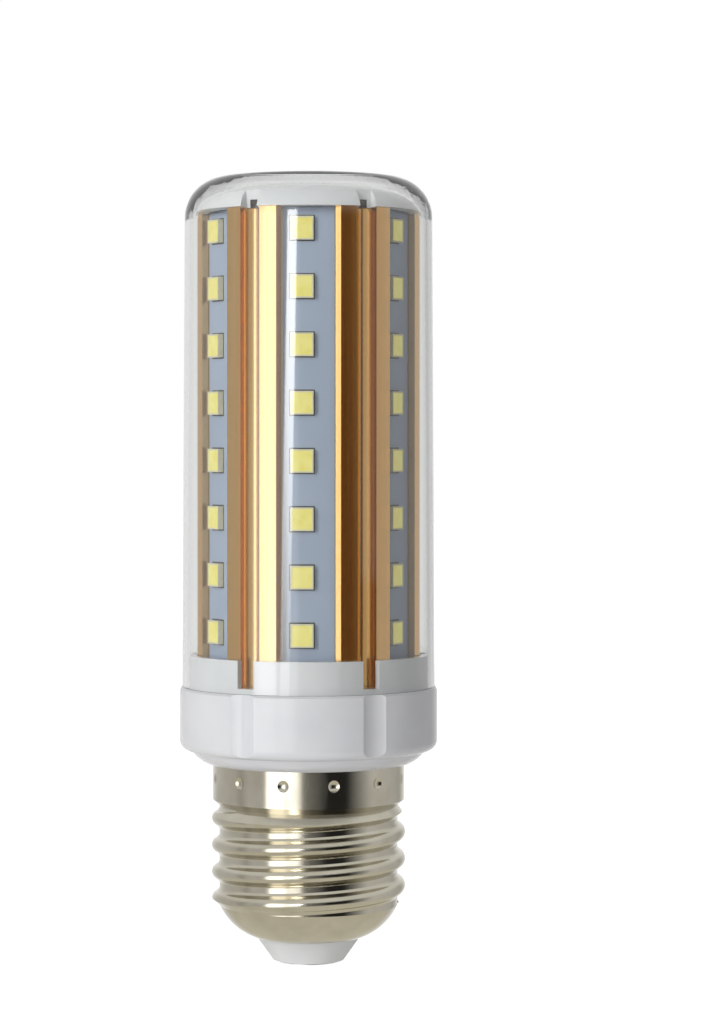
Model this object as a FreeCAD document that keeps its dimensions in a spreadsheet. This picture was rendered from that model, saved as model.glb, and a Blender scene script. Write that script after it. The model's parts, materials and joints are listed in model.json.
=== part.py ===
import FreeCAD, Part
import math
import os
import Sketcher

# Corn LED bulb with an E27 screw cap, in millimetres.
# The origin is the foot of the centre contact and +Z runs up the lamp's axis.
# The first LED board faces -Y, the front, and the others follow round the axis.

os.makedirs("parts", exist_ok=True)
doc = FreeCAD.newDocument("corn_led_bulb")
dim = doc.addObject("Spreadsheet::Sheet", "dim")

SIDES = 6
LEDS = 8
STAKES = 12
SCREWS = 3

driving_sizes = {
    # the lamp as a whole
    "overall_height": 107.0,
    "cap_height": 27.2,
    "housing_height": 10.3,
    "fit_clearance": 0.1,
    # clear tube
    "tube_top_radius": 16.8,
    "tube_taper": 0.35,
    "tube_wall": 0.8,
    "shoulder_radius": 5.5,
    "crown_rise": 0.9,
    # moulded housing
    "housing_overhang": 0.35,
    "housing_wall": 1.6,
    "housing_corner": 1.4,
    "mouth_chamfer": 0.3,
    "skirt_ring_inset": 1.6,
    "skirt_ring_height": 1.7,
    "skirt_ring_taper": 2.0,
    "skirt_ring_bend": 4.2,
    "collar_height": 4.4,
    "deck_thickness": 1.6,
    "deck_rise": 0.7,
    "flute_width": 3.8,
    "flute_depth": 0.5,
    "collar_slot_width": 2.4,
    "spigot_wall": 1.3,
    "wire_hole_radius": 3.2,
    # heat sink column
    "column_clearance": 0.8,
    "column_wall": 1.3,
    "groove_radius": 1.45,
    "groove_sink": 0.35,
    "channel_depth": 2.86,
    "channel_lip": 0.9,
    "channel_bevel": 24.0,
    "screw_channel_radius": 1.0,
    "screw_channel_wall": 0.9,
    "screw_inset": 0.9,
    # LED boards
    "board_width": 7.0,
    "board_thickness": 1.0,
    "first_led_rise": 3.3,
    "last_led_drop": 2.9,
    "led_offset": 0.85,
    "led_width": 3.0,
    "led_length": 3.1,
    "led_thickness": 0.75,
    "led_rim": 0.2,
    "phosphor_depth": 0.35,
    "phosphor_dip": 0.05,
    # link board and top cap
    "link_board_thickness": 1.0,
    "link_board_clearance": 2.0,
    "link_board_width": 5.0,
    "top_cap_gap": 0.35,
    "top_notch_width": 2.4,
    "top_notch_depth": 1.4,
    "leg_width": 5.0,
    "leg_length": 4.5,
    "leg_thickness": 1.8,
    # screw shell
    "thread_radius": 13.15,
    "thread_pitch": 3.629,
    "knuckle_radius": 1.025,
    "thread_start_height": 6.9,
    "thread_turns": 4.2,
    "skirt_flare": 0.885,
    "skirt_height": 5.0,
    "neck_height": 0.8,
    "shell_wall": 0.45,
    "bowl_height": 7.9,
    "bowl_radius": 8.0,
    "lip_radius": 7.6,
    "lip_height": 3.65,
    "stake_radius": 0.8,
    "stake_depth": 0.3,
    "stake_drop": 2.0,
    # insulator and centre contact
    "insulator_foot_radius": 4.85,
    "insulator_inner_height": 7.4,
    "contact_radius": 4.4,
    "contact_thickness": 0.5,
    "contact_flat_radius": 2.5,
    "contact_bevel": 0.25,
    "contact_seat": 0.35,
    "stem_radius": 1.5,
    "stem_height": 4.0,
    # driver board and what stands on it
    "guide_depth": 0.4,
    "driver_foot_height": 10.0,
    "driver_height": 24.0,
    "driver_thickness": 1.2,
    "smoothing_can_across": 1.5,
    "smoothing_can_radius": 4.0,
    "smoothing_can_length": 11.0,
    "driver_margin": 2.0,
    "film_capacitor_across": 3.5,
    "film_capacitor_width": 9.0,
    "film_capacitor_height": 7.0,
    "film_capacitor_thickness": 4.5,
    "choke_inset": 5.95,
    "choke_radius": 3.6,
    "choke_height": 6.0,
    "rectifier_inset": 5.45,
    "rectifier_width": 4.6,
    "rectifier_height": 6.4,
    "rectifier_thickness": 2.3,
    "controller_across": 0.5,
    "controller_width": 4.0,
    "controller_height": 5.0,
    "controller_thickness": 1.5,
    "leg_reach": 1.0,
    "leg_sheet": 0.2,
    "fuse_inset": 4.95,
    "fuse_radius": 1.3,
    "fuse_length": 6.5,
    # wires and screws
    "wire_radius": 0.5,
    "wire_stand_off": 3.2,
    "live_wire_across": 3.0,
    "neutral_wire_across": 8.0,
    "neutral_joint_angle": 50.0,
    "led_wire_across": 5.0,
    "screw_head_radius": 2.2,
    "screw_head_height": 1.5,
    "screw_radius": 0.95,
    "screw_length": 7.0,
}

for line, (alias, value) in enumerate(driving_sizes.items(), start=1):
    dim.set(f"A{line}", alias.replace("_", " "))
    dim.set(f"B{line}", str(value))
    dim.setAlias(f"B{line}", alias)
doc.recompute()

# Levels and radii that several pieces share, as expressions on the sheet.
RIM = "dim.cap_height"
SEAM = f"({RIM} + dim.housing_height)"
DECK = f"({SEAM} + dim.deck_rise)"
DECK_UNDERSIDE = f"({DECK} - dim.deck_thickness)"
COLLAR_TOP = f"({SEAM} + dim.collar_height)"
SHOULDER = "(dim.overall_height - dim.crown_rise - dim.shoulder_radius)"
SHOULDER_CENTRE = "(dim.tube_top_radius - dim.shoulder_radius)"
TUBE_FOOT_RADIUS = "(dim.tube_top_radius + dim.tube_taper)"
HOUSING_RADIUS = f"({TUBE_FOOT_RADIUS} + dim.housing_overhang)"
SKIRT_RING_RADIUS = f"({HOUSING_RADIUS} - dim.skirt_ring_inset)"
CAP_ARC = "(dim.shoulder_radius - dim.tube_wall - dim.top_cap_gap)"
CAP_TOP = f"({SHOULDER} + {CAP_ARC})"
CAP_FOOT = f"({SHOULDER} + {CAP_ARC} / 2)"
COLUMN_TOP = f"({CAP_FOOT} - dim.link_board_thickness)"
COLLAR_RADIUS = f"({TUBE_FOOT_RADIUS} - dim.tube_wall - dim.fit_clearance)"
COLUMN_RADIUS = "(dim.tube_top_radius - dim.tube_wall - dim.column_clearance)"
SEAT_APOTHEM = f"({COLUMN_RADIUS} - dim.channel_depth)"
CORE_RADIUS = f"({SEAT_APOTHEM} - dim.column_wall)"
SCREW_CIRCLE = f"({CORE_RADIUS} - dim.screw_inset)"
BOARD_FACE = f"({SEAT_APOTHEM} + dim.board_thickness)"
LED_FACE = f"({BOARD_FACE} + dim.led_thickness)"
FIRST_LED = f"({COLLAR_TOP} + dim.first_led_rise)"
LAST_LED = f"({COLUMN_TOP} - dim.last_led_drop)"
LINK_BOARD_RADIUS = "(dim.tube_top_radius - dim.tube_wall - dim.link_board_clearance)"
LINK_BOARD_BORE = f"({LINK_BOARD_RADIUS} - dim.link_board_width)"
KNUCKLE_COSINE = "sqrt(1 - (dim.thread_pitch / (4 * dim.knuckle_radius))^2)"
THREAD_DEPTH = f"(2 * dim.knuckle_radius * (1 - {KNUCKLE_COSINE}))"
ROOT_RADIUS = f"(dim.thread_radius - {THREAD_DEPTH})"
SHELL_RADIUS = f"({ROOT_RADIUS} + 0.06 * dim.knuckle_radius)"
SKIRT_RADIUS = f"({SHELL_RADIUS} + dim.skirt_flare)"
SKIRT_FOOT = f"({RIM} - dim.skirt_height)"
NECK = f"({SKIRT_FOOT} - dim.neck_height)"
SPIGOT_RADIUS = f"({SKIRT_RADIUS} - dim.shell_wall - dim.fit_clearance)"
SPIGOT_BORE = f"({SPIGOT_RADIUS} - dim.spigot_wall)"
SPIGOT_FOOT = f"({SKIRT_FOOT} + dim.fit_clearance)"
CAVITY_RADIUS = f"({HOUSING_RADIUS} - dim.flute_depth - dim.housing_wall)"
DRIVER_WIDTH = f"(2 * ({SPIGOT_BORE} + dim.guide_depth - dim.fit_clearance))"
DRIVER_TOP = "(dim.driver_foot_height + dim.driver_height)"
DRIVER_FACE = "(dim.driver_thickness / 2)"


def size(expression):
    """The present value of an expression on the sheet."""
    return float(dim.evalExpression(expression))


def new_body(label):
    """A body that becomes the sub-part of this name."""
    body = doc.addObject("PartDesign::Body", label)
    body.Label = label
    body.AllowCompound = True
    return body


def own(body, role):
    """One of the body's own origin planes or axes."""
    return [item for item in body.Origin.OriginFeatures if item.Role == role][0]


def arc_between(start, end, radius):
    """The short arc between two points that turns left for a positive radius and right for a negative one."""
    chord = end - start
    across = FreeCAD.Vector(-chord.y, chord.x, 0).normalize()
    reach = math.sqrt(radius**2 - (chord.Length / 2) ** 2)
    centre = (start + end) * 0.5 + across * math.copysign(reach, radius)
    circle = Part.Circle(centre, FreeCAD.Vector(0, 0, 1), abs(radius))
    turn = [math.atan2(point.y - centre.y, point.x - centre.x) for point in (start, end)]
    if radius < 0:
        turn.reverse()
    return Part.ArcOfCircle(circle, *turn)


def outline(body, role, corners, lift=None):
    """Draws a closed outline on one of the body's own planes, every corner bound to the sheet.

    A corner is (across, up), or (across, up, bend) where an arc of that radius leads to the next corner.
    """
    sketch = body.newObject("Sketcher::SketchObject", f"{body.Name}_outline")
    sketch.AttachmentSupport = [(own(body, role), "")]
    sketch.MapMode = "FlatFace"
    if lift:
        sketch.setExpression("AttachmentOffset.Base.z", lift)
    points = [FreeCAD.Vector(size(corner[0]), size(corner[1]), 0) for corner in corners]
    start_ends = []
    for number, corner in enumerate(corners):
        start = points[number]
        end = points[(number + 1) % len(points)]
        bend = size(corner[2]) if len(corner) == 3 else 0
        sketch.addGeometry(arc_between(start, end, bend) if bend else Part.LineSegment(start, end), False)
        start_ends.append((2, 1) if bend < 0 else (1, 2))
    for number, (start_end, far_end) in enumerate(start_ends):
        following = (number + 1) % len(corners)
        next_start = start_ends[following][0]
        sketch.addConstraint(Sketcher.Constraint("Coincident", number, far_end, following, next_start))
    for number, corner in enumerate(corners):
        start_end = start_ends[number][0]
        for kind, text in (("DistanceX", corner[0]), ("DistanceY", corner[1])):
            rule = Sketcher.Constraint(kind, -1, 1, number, start_end, size(text))
            bind(sketch, rule, text)
        if len(corner) == 3:
            rule = Sketcher.Constraint("Radius", number, abs(size(corner[2])))
            bind(sketch, rule, f"abs({corner[2]})")
    return sketch


def ring(body, role, centre, radius, lift=None):
    """Draws a circle on one of the body's own planes, its centre and radius bound to the sheet."""
    sketch = body.newObject("Sketcher::SketchObject", f"{body.Name}_circle")
    sketch.AttachmentSupport = [(own(body, role), "")]
    sketch.MapMode = "FlatFace"
    if lift:
        sketch.setExpression("AttachmentOffset.Base.z", lift)
    middle = FreeCAD.Vector(size(centre[0]), size(centre[1]), 0)
    sketch.addGeometry(Part.Circle(middle, FreeCAD.Vector(0, 0, 1), size(radius)), False)
    bind(sketch, Sketcher.Constraint("DistanceX", -1, 1, 0, 3, size(centre[0])), centre[0])
    bind(sketch, Sketcher.Constraint("DistanceY", -1, 1, 0, 3, size(centre[1])), centre[1])
    bind(sketch, Sketcher.Constraint("Radius", 0, size(radius)), radius)
    return sketch


def bind(sketch, rule, expression):
    """Adds a dimension to a sketch and, where it is not a plain number, ties it to the sheet."""
    number = sketch.addConstraint(rule)
    if "dim." in expression:
        sketch.setExpression(f"Constraints[{number}]", expression)


def turn(body, kind, corners):
    """Turns an outline right round the lamp's axis: a Revolution adds it, a Groove cuts it away."""
    sketch = outline(body, "XZ_Plane", corners)
    feature = body.newObject(f"PartDesign::{kind}", f"{body.Name}_{kind.lower()}")
    feature.Profile = sketch
    feature.ReferenceAxis = (sketch, ["V_Axis"])
    feature.Angle = 360
    return feature


def extrude(body, kind, sketch, length):
    """Pads an outline along its plane's normal, or cuts a Pocket back against it."""
    feature = body.newObject(f"PartDesign::{kind}", f"{body.Name}_{kind.lower()}")
    feature.Profile = sketch
    feature.setExpression("Length", length)
    return feature


def repeat_around(body, features, count):
    """Repeats features evenly about the lamp's axis."""
    pattern = body.newObject("PartDesign::PolarPattern", f"{body.Name}_round")
    pattern.Originals = features
    pattern.Axis = (own(body, "Z_Axis"), [""])
    pattern.Angle = 360
    pattern.Occurrences = count
    body.Tip = pattern
    return pattern


def soften(body, kind, edge_test, amount):
    """Fillets or chamfers the edges of the body's last feature that pass a test."""
    doc.recompute()
    base = body.Tip
    names = [f"Edge{n}" for n, edge in enumerate(base.Shape.Edges, start=1) if edge_test(edge)]
    feature = body.newObject(f"PartDesign::{kind}", f"{body.Name}_{kind.lower()}")
    feature.Base = (base, names)
    feature.setExpression("Radius" if kind == "Fillet" else "Size", amount)
    return feature


def is_circle(edge, radius, height):
    """Whether an edge is a circle about the lamp's axis with this radius, at this height."""
    if edge.Degenerated or not isinstance(edge.Curve, Part.Circle):
        return False
    curve = edge.Curve
    off = math.hypot(curve.Center.x, curve.Center.y) + abs(curve.Center.z - size(height))
    return off + abs(curve.Radius - size(radius)) < 0.01


def is_long(edge, shortest):
    """Whether an edge is a straight line at least this long."""
    return not edge.Degenerated and isinstance(edge.Curve, Part.Line) and edge.Length >= size(shortest)


def rectangle(width, low, high, shift="0"):
    """Corners of an upright rectangle, centred across its plane unless it is shifted."""
    left = f"{shift} - {width} / 2"
    right = f"{shift} + {width} / 2"
    return [(left, low), (right, low), (right, high), (left, high)]


def turned_about_axis(body, degrees):
    """Places a body turned about the lamp's axis."""
    spin = FreeCAD.Rotation(FreeCAD.Vector(0, 0, 1), degrees)
    body.Placement = FreeCAD.Placement(FreeCAD.Vector(0, 0, 0), spin)


# Clear tube: a slightly tapered moulding with a rounded shoulder and a faintly domed top
tube = new_body("tube_cover")
inner_crown = "dim.overall_height - dim.tube_wall"
crown_bend = "((dim.tube_top_radius^2 + dim.crown_rise^2) / (2 * dim.crown_rise))"
turn(tube, "Revolution", [
    ("0", SEAM),
    (TUBE_FOOT_RADIUS, SEAM),
    ("dim.tube_top_radius", "dim.overall_height - dim.crown_rise", crown_bend),
    ("0", "dim.overall_height"),
])
soften(tube, "Fillet", lambda edge: is_circle(
    edge, "dim.tube_top_radius", "dim.overall_height - dim.crown_rise"), "dim.shoulder_radius")
turn(tube, "Groove", [
    ("0", SEAM),
    (f"{TUBE_FOOT_RADIUS} - dim.tube_wall", SEAM),
    ("dim.tube_top_radius - dim.tube_wall", SHOULDER, "dim.shoulder_radius - dim.tube_wall"),
    (SHOULDER_CENTRE, f"{SHOULDER} + dim.shoulder_radius - dim.tube_wall"),
    ("0", inner_crown),
])

# Housing: collar, fluted band, tapered skirt ring and the spigot that the screw shell is staked to
housing = new_body("housing")
turn(housing, "Revolution", [
    ("0", SPIGOT_FOOT),
    (SPIGOT_RADIUS, SPIGOT_FOOT),
    (SPIGOT_RADIUS, RIM),
    (f"{SKIRT_RING_RADIUS} - dim.skirt_ring_taper", RIM, "dim.skirt_ring_bend"),
    (SKIRT_RING_RADIUS, f"{RIM} + dim.skirt_ring_height"),
    (HOUSING_RADIUS, f"{RIM} + dim.skirt_ring_height"),
    (HOUSING_RADIUS, SEAM),
    (COLLAR_RADIUS, SEAM),
    (COLLAR_RADIUS, COLLAR_TOP),
    ("0", COLLAR_TOP),
])
soften(housing, "Fillet", lambda edge: is_circle(
    edge, HOUSING_RADIUS, f"{RIM} + dim.skirt_ring_height"), "dim.housing_corner")
soften(housing, "Chamfer", lambda edge: is_circle(edge, HOUSING_RADIUS, SEAM), "dim.mouth_chamfer")
turn(housing, "Groove", [
    ("0", SPIGOT_FOOT),
    (SPIGOT_BORE, SPIGOT_FOOT),
    (SPIGOT_BORE, f"{RIM} + dim.housing_wall / 2"),
    (f"{SKIRT_RING_RADIUS} - dim.housing_wall", f"{RIM} + dim.skirt_ring_height"),
    (CAVITY_RADIUS, f"{RIM} + dim.skirt_ring_height + dim.housing_corner"),
    (CAVITY_RADIUS, DECK_UNDERSIDE),
    ("0", DECK_UNDERSIDE),
])
# round socket for the foot of the column, with six open slots in the collar that show its grooves
socket = ring(housing, "XY_Plane", ("0", "0"), f"{COLUMN_RADIUS} + dim.fit_clearance", lift=COLLAR_TOP)
extrude(housing, "Pocket", socket, "dim.collar_height - dim.deck_rise")
slot_corners = [
    (SEAT_APOTHEM, "0 - dim.collar_slot_width / 2"),
    (HOUSING_RADIUS, "0 - dim.collar_slot_width / 2"),
    (HOUSING_RADIUS, "dim.collar_slot_width / 2"),
    (SEAT_APOTHEM, "dim.collar_slot_width / 2"),
]
slot = extrude(housing, "Pocket", outline(housing, "XY_Plane", slot_corners, lift=COLLAR_TOP),
               "dim.collar_height - dim.deck_rise")
repeat_around(housing, [slot], SIDES)
# shallow flutes down the outside, under the slots
flute_radius = "((dim.flute_width^2 / 4 + dim.flute_depth^2) / (2 * dim.flute_depth))"
flute = extrude(housing, "Pocket", ring(
    housing, "XY_Plane", (f"{HOUSING_RADIUS} - dim.flute_depth + {flute_radius}", "0"), flute_radius,
    lift=SEAM), "dim.housing_height")
repeat_around(housing, [flute], SIDES)
# hole for the wires and three for the screws that hold the column
extrude(housing, "Pocket", ring(housing, "XY_Plane", ("0", "0"), "dim.wire_hole_radius", lift=DECK),
        "2 * dim.deck_thickness")
screw_hole = extrude(housing, "Pocket", ring(
    housing, "XY_Plane", (SCREW_CIRCLE, "0"), "dim.screw_radius + dim.fit_clearance", lift=DECK),
    "2 * dim.deck_thickness")
repeat_around(housing, [screw_hole], SCREWS)
# guide grooves for the edges of the driver board
guide_width = "(dim.driver_thickness + 2 * dim.fit_clearance)"
guide_span = f"({DRIVER_WIDTH} + 2 * dim.fit_clearance)"
guide_corners = rectangle(guide_span, f"-{guide_width} / 2", f"{guide_width} / 2")
extrude(housing, "Pocket", outline(housing, "XY_Plane", guide_corners, lift=DECK_UNDERSIDE),
        f"{DECK_UNDERSIDE} - {SPIGOT_FOOT}")

# Heat sink column: a round extrusion with six board channels, bevelled at the lips, and grooves between
column = new_body("heat_sink_column")
column_length = f"{COLUMN_TOP} - {DECK}"
extrude(column, "Pad", ring(column, "XY_Plane", ("0", "0"), COLUMN_RADIUS, lift=DECK), column_length)
channel_half = "(dim.board_width / 2)"
mouth_half = "dim.board_width"
lip = f"({COLUMN_RADIUS} - dim.channel_lip)"
mouth = f"({lip} + ({mouth_half} - {channel_half}) * tan(dim.channel_bevel))"
board_channel = extrude(column, "Pocket", outline(column, "XY_Plane", [
    (f"0 - {channel_half}", f"0 - {SEAT_APOTHEM}"),
    (f"0 - {channel_half}", f"0 - {lip}"),
    (f"0 - {mouth_half}", f"0 - {mouth}"),
    (mouth_half, f"0 - {mouth}"),
    (channel_half, f"0 - {lip}"),
    (channel_half, f"0 - {SEAT_APOTHEM}"),
], lift=COLUMN_TOP), column_length)
groove = extrude(column, "Pocket", ring(
    column, "XY_Plane", (f"{COLUMN_RADIUS} - dim.groove_sink", "0"), "dim.groove_radius", lift=COLUMN_TOP),
    column_length)
repeat_around(column, [board_channel, groove], SIDES)
extrude(column, "Pocket", ring(column, "XY_Plane", ("0", "0"), CORE_RADIUS, lift=COLUMN_TOP), column_length)
# screw channels inside the wall, behind three of the grooves
channel_radius = "(dim.screw_channel_radius + dim.screw_channel_wall)"
channel = extrude(column, "Pad", ring(
    column, "XY_Plane", (SCREW_CIRCLE, "0"), channel_radius, lift=DECK), column_length)
repeat_around(column, [channel], SCREWS)
channel_bore = extrude(column, "Pocket", ring(
    column, "XY_Plane", (SCREW_CIRCLE, "0"), "dim.screw_channel_radius", lift=COLUMN_TOP),
    column_length)
repeat_around(column, [channel_bore], SCREWS)

# LED boards: one in each channel, from the deck up to the link board
for side in range(SIDES):
    board = new_body(f"led_board_{side + 1}")
    extrude(board, "Pad", outline(board, "XZ_Plane", rectangle(
        "(dim.board_width - 2 * dim.fit_clearance)", DECK, COLUMN_TOP), lift=SEAT_APOTHEM),
        "dim.board_thickness")
    turned_about_axis(board, 360 / SIDES * side)

# LED packages: a white frame round a sunken phosphor window, eight in a row on each board
led_low = f"{FIRST_LED} - dim.led_length / 2"
led_high = f"{FIRST_LED} + dim.led_length / 2"
led_shape = rectangle("dim.led_width", led_low, led_high, shift="0 - dim.led_offset")
window_shape = rectangle("(dim.led_width - 2 * dim.led_rim)", f"{led_low} + dim.led_rim",
                         f"{led_high} - dim.led_rim", shift="0 - dim.led_offset")
WINDOW_FLOOR = f"({LED_FACE} - dim.phosphor_depth - dim.phosphor_dip)"
for side in range(SIDES):
    row = new_body(f"led_row_{side + 1}")
    frame = extrude(row, "Pad", outline(row, "XZ_Plane", led_shape, lift=BOARD_FACE), "dim.led_thickness")
    window = extrude(row, "Pocket", outline(row, "XZ_Plane", window_shape, lift=LED_FACE),
                     "dim.phosphor_depth + dim.phosphor_dip")
    fill = new_body(f"phosphor_row_{side + 1}")
    phosphor = extrude(fill, "Pad", outline(fill, "XZ_Plane", window_shape, lift=WINDOW_FLOOR),
                       "dim.phosphor_depth")
    for body, features in ((row, [frame, window]), (fill, [phosphor])):
        pattern = body.newObject("PartDesign::LinearPattern", f"{body.Name}_up")
        pattern.Originals = features
        pattern.Direction = (own(body, "Z_Axis"), [""])
        pattern.setExpression("Length", f"{LAST_LED} - {FIRST_LED}")
        pattern.Occurrences = LEDS
        body.Tip = pattern
        turned_about_axis(body, 360 / SIDES * side)

# Link board: a ring that joins the upper ends of the six boards
link = new_body("link_board")
turn(link, "Revolution", [
    (LINK_BOARD_BORE, COLUMN_TOP),
    (LINK_BOARD_RADIUS, COLUMN_TOP),
    (LINK_BOARD_RADIUS, CAP_FOOT),
    (LINK_BOARD_BORE, CAP_FOOT),
])

# Top cap: a disc that follows the tube's shoulder, with a notched rim round the link board
top_cap = new_body("top_cap")
rim_edge = f"({SHOULDER_CENTRE} + sqrt({CAP_ARC}^2 - ({COLUMN_TOP} - {SHOULDER})^2))"
rim_bore = f"({LINK_BOARD_RADIUS} + dim.fit_clearance)"
turn(top_cap, "Revolution", [
    ("0", CAP_FOOT),
    (rim_bore, CAP_FOOT),
    (rim_bore, COLUMN_TOP),
    (rim_edge, COLUMN_TOP, CAP_ARC),
    (SHOULDER_CENTRE, CAP_TOP),
    ("0", CAP_TOP),
])
notch = extrude(top_cap, "Pocket", outline(top_cap, "XY_Plane", [
    (f"{rim_edge} - dim.top_notch_depth", "-dim.top_notch_width / 2"),
    (HOUSING_RADIUS, "-dim.top_notch_width / 2"),
    (HOUSING_RADIUS, "dim.top_notch_width / 2"),
    (f"{rim_edge} - dim.top_notch_depth", "dim.top_notch_width / 2"),
], lift=CAP_TOP), f"{CAP_TOP} - {COLUMN_TOP}")
repeat_around(top_cap, [notch], SIDES)
leg_bend = f"({LINK_BOARD_BORE} - dim.fit_clearance)"
leg_reach = f"sqrt({leg_bend}^2 - dim.leg_width^2 / 4)"
leg = extrude(top_cap, "Pad", outline(top_cap, "XY_Plane", [
    ("-dim.leg_width / 2", f"0 - {leg_reach}", leg_bend),
    ("dim.leg_width / 2", f"0 - {leg_reach}"),
    ("dim.leg_width / 2", f"0 - {leg_reach} + dim.leg_thickness"),
    ("-dim.leg_width / 2", f"0 - {leg_reach} + dim.leg_thickness"),
], lift=f"{CAP_FOOT} - dim.leg_length"), "dim.leg_length")
repeat_around(top_cap, [leg], SCREWS)

# Screw shell: skirt, neck, knuckle thread and bowl of an E27 cap
shell = new_body("screw_shell")
turn(shell, "Revolution", [
    ("0", "dim.lip_height"),
    ("dim.lip_radius", "dim.lip_height", "dim.bowl_radius"),
    (SHELL_RADIUS, "dim.bowl_height"),
    (SHELL_RADIUS, NECK),
    (SKIRT_RADIUS, SKIRT_FOOT),
    (SKIRT_RADIUS, RIM),
    ("0", RIM),
])
# the ridge: a crest arc between two root arcs, run up the helix
crest_half = "(dim.thread_pitch / 4)"
flank = f"(dim.thread_radius - dim.knuckle_radius + dim.knuckle_radius * {KNUCKLE_COSINE})"
root_end_half = "(dim.thread_pitch / 2 - dim.knuckle_radius * sin(8))"
root_end = f"({ROOT_RADIUS} + dim.knuckle_radius * (1 - cos(8)))"
ridge_foot = f"({SHELL_RADIUS} - dim.shell_wall / 2)"
start = "dim.thread_start_height"
ridge_outline = outline(shell, "XZ_Plane", [
    (ridge_foot, f"{start} - {root_end_half}"),
    (root_end, f"{start} - {root_end_half}", "0 - dim.knuckle_radius"),
    (flank, f"{start} - {crest_half}", "dim.knuckle_radius"),
    (flank, f"{start} + {crest_half}", "0 - dim.knuckle_radius"),
    (root_end, f"{start} + {root_end_half}"),
    (ridge_foot, f"{start} + {root_end_half}"),
])
ridge = shell.newObject("PartDesign::AdditiveHelix", "thread_ridge")
ridge.Profile = ridge_outline
ridge.ReferenceAxis = (ridge_outline, ["V_Axis"])
ridge.Mode = "pitch-turns-angle"
ridge.setExpression("Pitch", "dim.thread_pitch")
ridge.setExpression("Turns", "dim.thread_turns")
# the thread runs out under the skirt and into the bowl
turn(shell, "Groove", [
    (SHELL_RADIUS, NECK),
    (SKIRT_RADIUS, SKIRT_FOOT),
    (HOUSING_RADIUS, SKIRT_FOOT),
    (HOUSING_RADIUS, f"{SKIRT_FOOT} - 0.6 * dim.thread_pitch"),
    ("dim.thread_radius", f"{SKIRT_FOOT} - 0.6 * dim.thread_pitch"),
])
turn(shell, "Groove", [
    ("dim.lip_radius", "dim.lip_height", "dim.bowl_radius"),
    (SHELL_RADIUS, "dim.bowl_height"),
    ("dim.thread_radius", "dim.bowl_height + dim.thread_pitch / 4"),
    (HOUSING_RADIUS, "dim.bowl_height + dim.thread_pitch / 4"),
    (HOUSING_RADIUS, "dim.lip_height"),
])
shell_bore = f"({SHELL_RADIUS} - dim.shell_wall)"
lip_bore = "(dim.lip_radius - dim.shell_wall)"
turn(shell, "Groove", [
    ("0", "dim.lip_height"),
    (lip_bore, "dim.lip_height"),
    (lip_bore, "dim.lip_height + dim.shell_wall", "dim.bowl_radius - dim.shell_wall"),
    (shell_bore, "dim.bowl_height + dim.shell_wall"),
    (shell_bore, NECK),
    (f"{SKIRT_RADIUS} - dim.shell_wall", SKIRT_FOOT),
    (f"{SKIRT_RADIUS} - dim.shell_wall", RIM),
    ("0", RIM),
])
# staking marks punched round the skirt
stake = shell.newObject("PartDesign::SubtractiveSphere", "stake_mark")
stake_ball = "((dim.stake_radius^2 + dim.stake_depth^2) / (2 * dim.stake_depth))"
stake.setExpression("Radius", stake_ball)
stake.AttachmentSupport = [(own(shell, "XY_Plane"), "")]
stake.MapMode = "FlatFace"
stake_angle = 180 / STAKES
stake_reach = f"({SKIRT_RADIUS} - dim.stake_depth + {stake_ball})"
stake.setExpression("AttachmentOffset.Base.x", f"{stake_reach} * cos({stake_angle})")
stake.setExpression("AttachmentOffset.Base.y", f"{stake_reach} * sin({stake_angle})")
stake.setExpression("AttachmentOffset.Base.z", f"{RIM} - dim.stake_drop")
repeat_around(shell, [stake], STAKES)

# Insulator: the white cone that closes the shell's lower end
insulator = new_body("cap_insulator")
cone_foot = "(dim.contact_bevel + dim.contact_thickness - dim.contact_seat)"
turn(insulator, "Revolution", [
    ("dim.stem_radius", cone_foot),
    ("dim.insulator_foot_radius", cone_foot),
    ("dim.lip_radius - dim.shell_wall", "dim.lip_height"),
    ("dim.lip_radius - dim.shell_wall", "dim.insulator_inner_height"),
    ("dim.stem_radius", "dim.insulator_inner_height"),
])
turn(insulator, "Groove", [
    ("0", cone_foot),
    ("dim.contact_radius", cone_foot),
    ("dim.contact_radius", f"{cone_foot} + dim.contact_seat"),
    ("0", f"{cone_foot} + dim.contact_seat"),
])

# Centre contact: a disc with a small flat foot and a stem that takes the live wire
contact = new_body("centre_contact")
stem_bore = "(dim.wire_radius + dim.fit_clearance)"
turn(contact, "Revolution", [
    ("0", "0"),
    ("dim.contact_flat_radius", "0"),
    ("dim.contact_radius", "dim.contact_bevel"),
    ("dim.contact_radius", "dim.contact_bevel + dim.contact_thickness"),
    ("dim.stem_radius", "dim.contact_bevel + dim.contact_thickness"),
    ("dim.stem_radius", "dim.stem_height"),
    (stem_bore, "dim.stem_height"),
    (stem_bore, "dim.contact_bevel + dim.contact_thickness"),
    ("0", "dim.contact_bevel + dim.contact_thickness"),
])

# Driver board, on edge across the lamp, its sides in the housing's guide grooves
driver = new_body("driver_board")
extrude(driver, "Pad", outline(driver, "XZ_Plane", rectangle(
    DRIVER_WIDTH, "dim.driver_foot_height", DRIVER_TOP), lift="0 - dim.driver_thickness / 2"),
    "dim.driver_thickness")


def block_on_driver(label, across, foot, width, height, thickness, face):
    """A component with a rectangular case, flat on the driver board's front or back."""
    body = new_body(label)
    lift = DRIVER_FACE if face == "front" else f"0 - {DRIVER_FACE} - {thickness}"
    upright = rectangle(width, foot, f"{foot} + {height}", shift=across)
    extrude(body, "Pad", outline(body, "XZ_Plane", upright, lift=lift), thickness)
    return body


def round_on_driver(label, across, radius, face, corners):
    """A round component, turned and then laid upright against the driver board's front or back."""
    body = new_body(label)
    turn(body, "Revolution", corners)
    away = f"({DRIVER_FACE} + {radius})"
    body.setExpression("Placement.Base.x", across)
    body.setExpression("Placement.Base.y", f"0 - {away}" if face == "front" else away)
    return body


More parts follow.
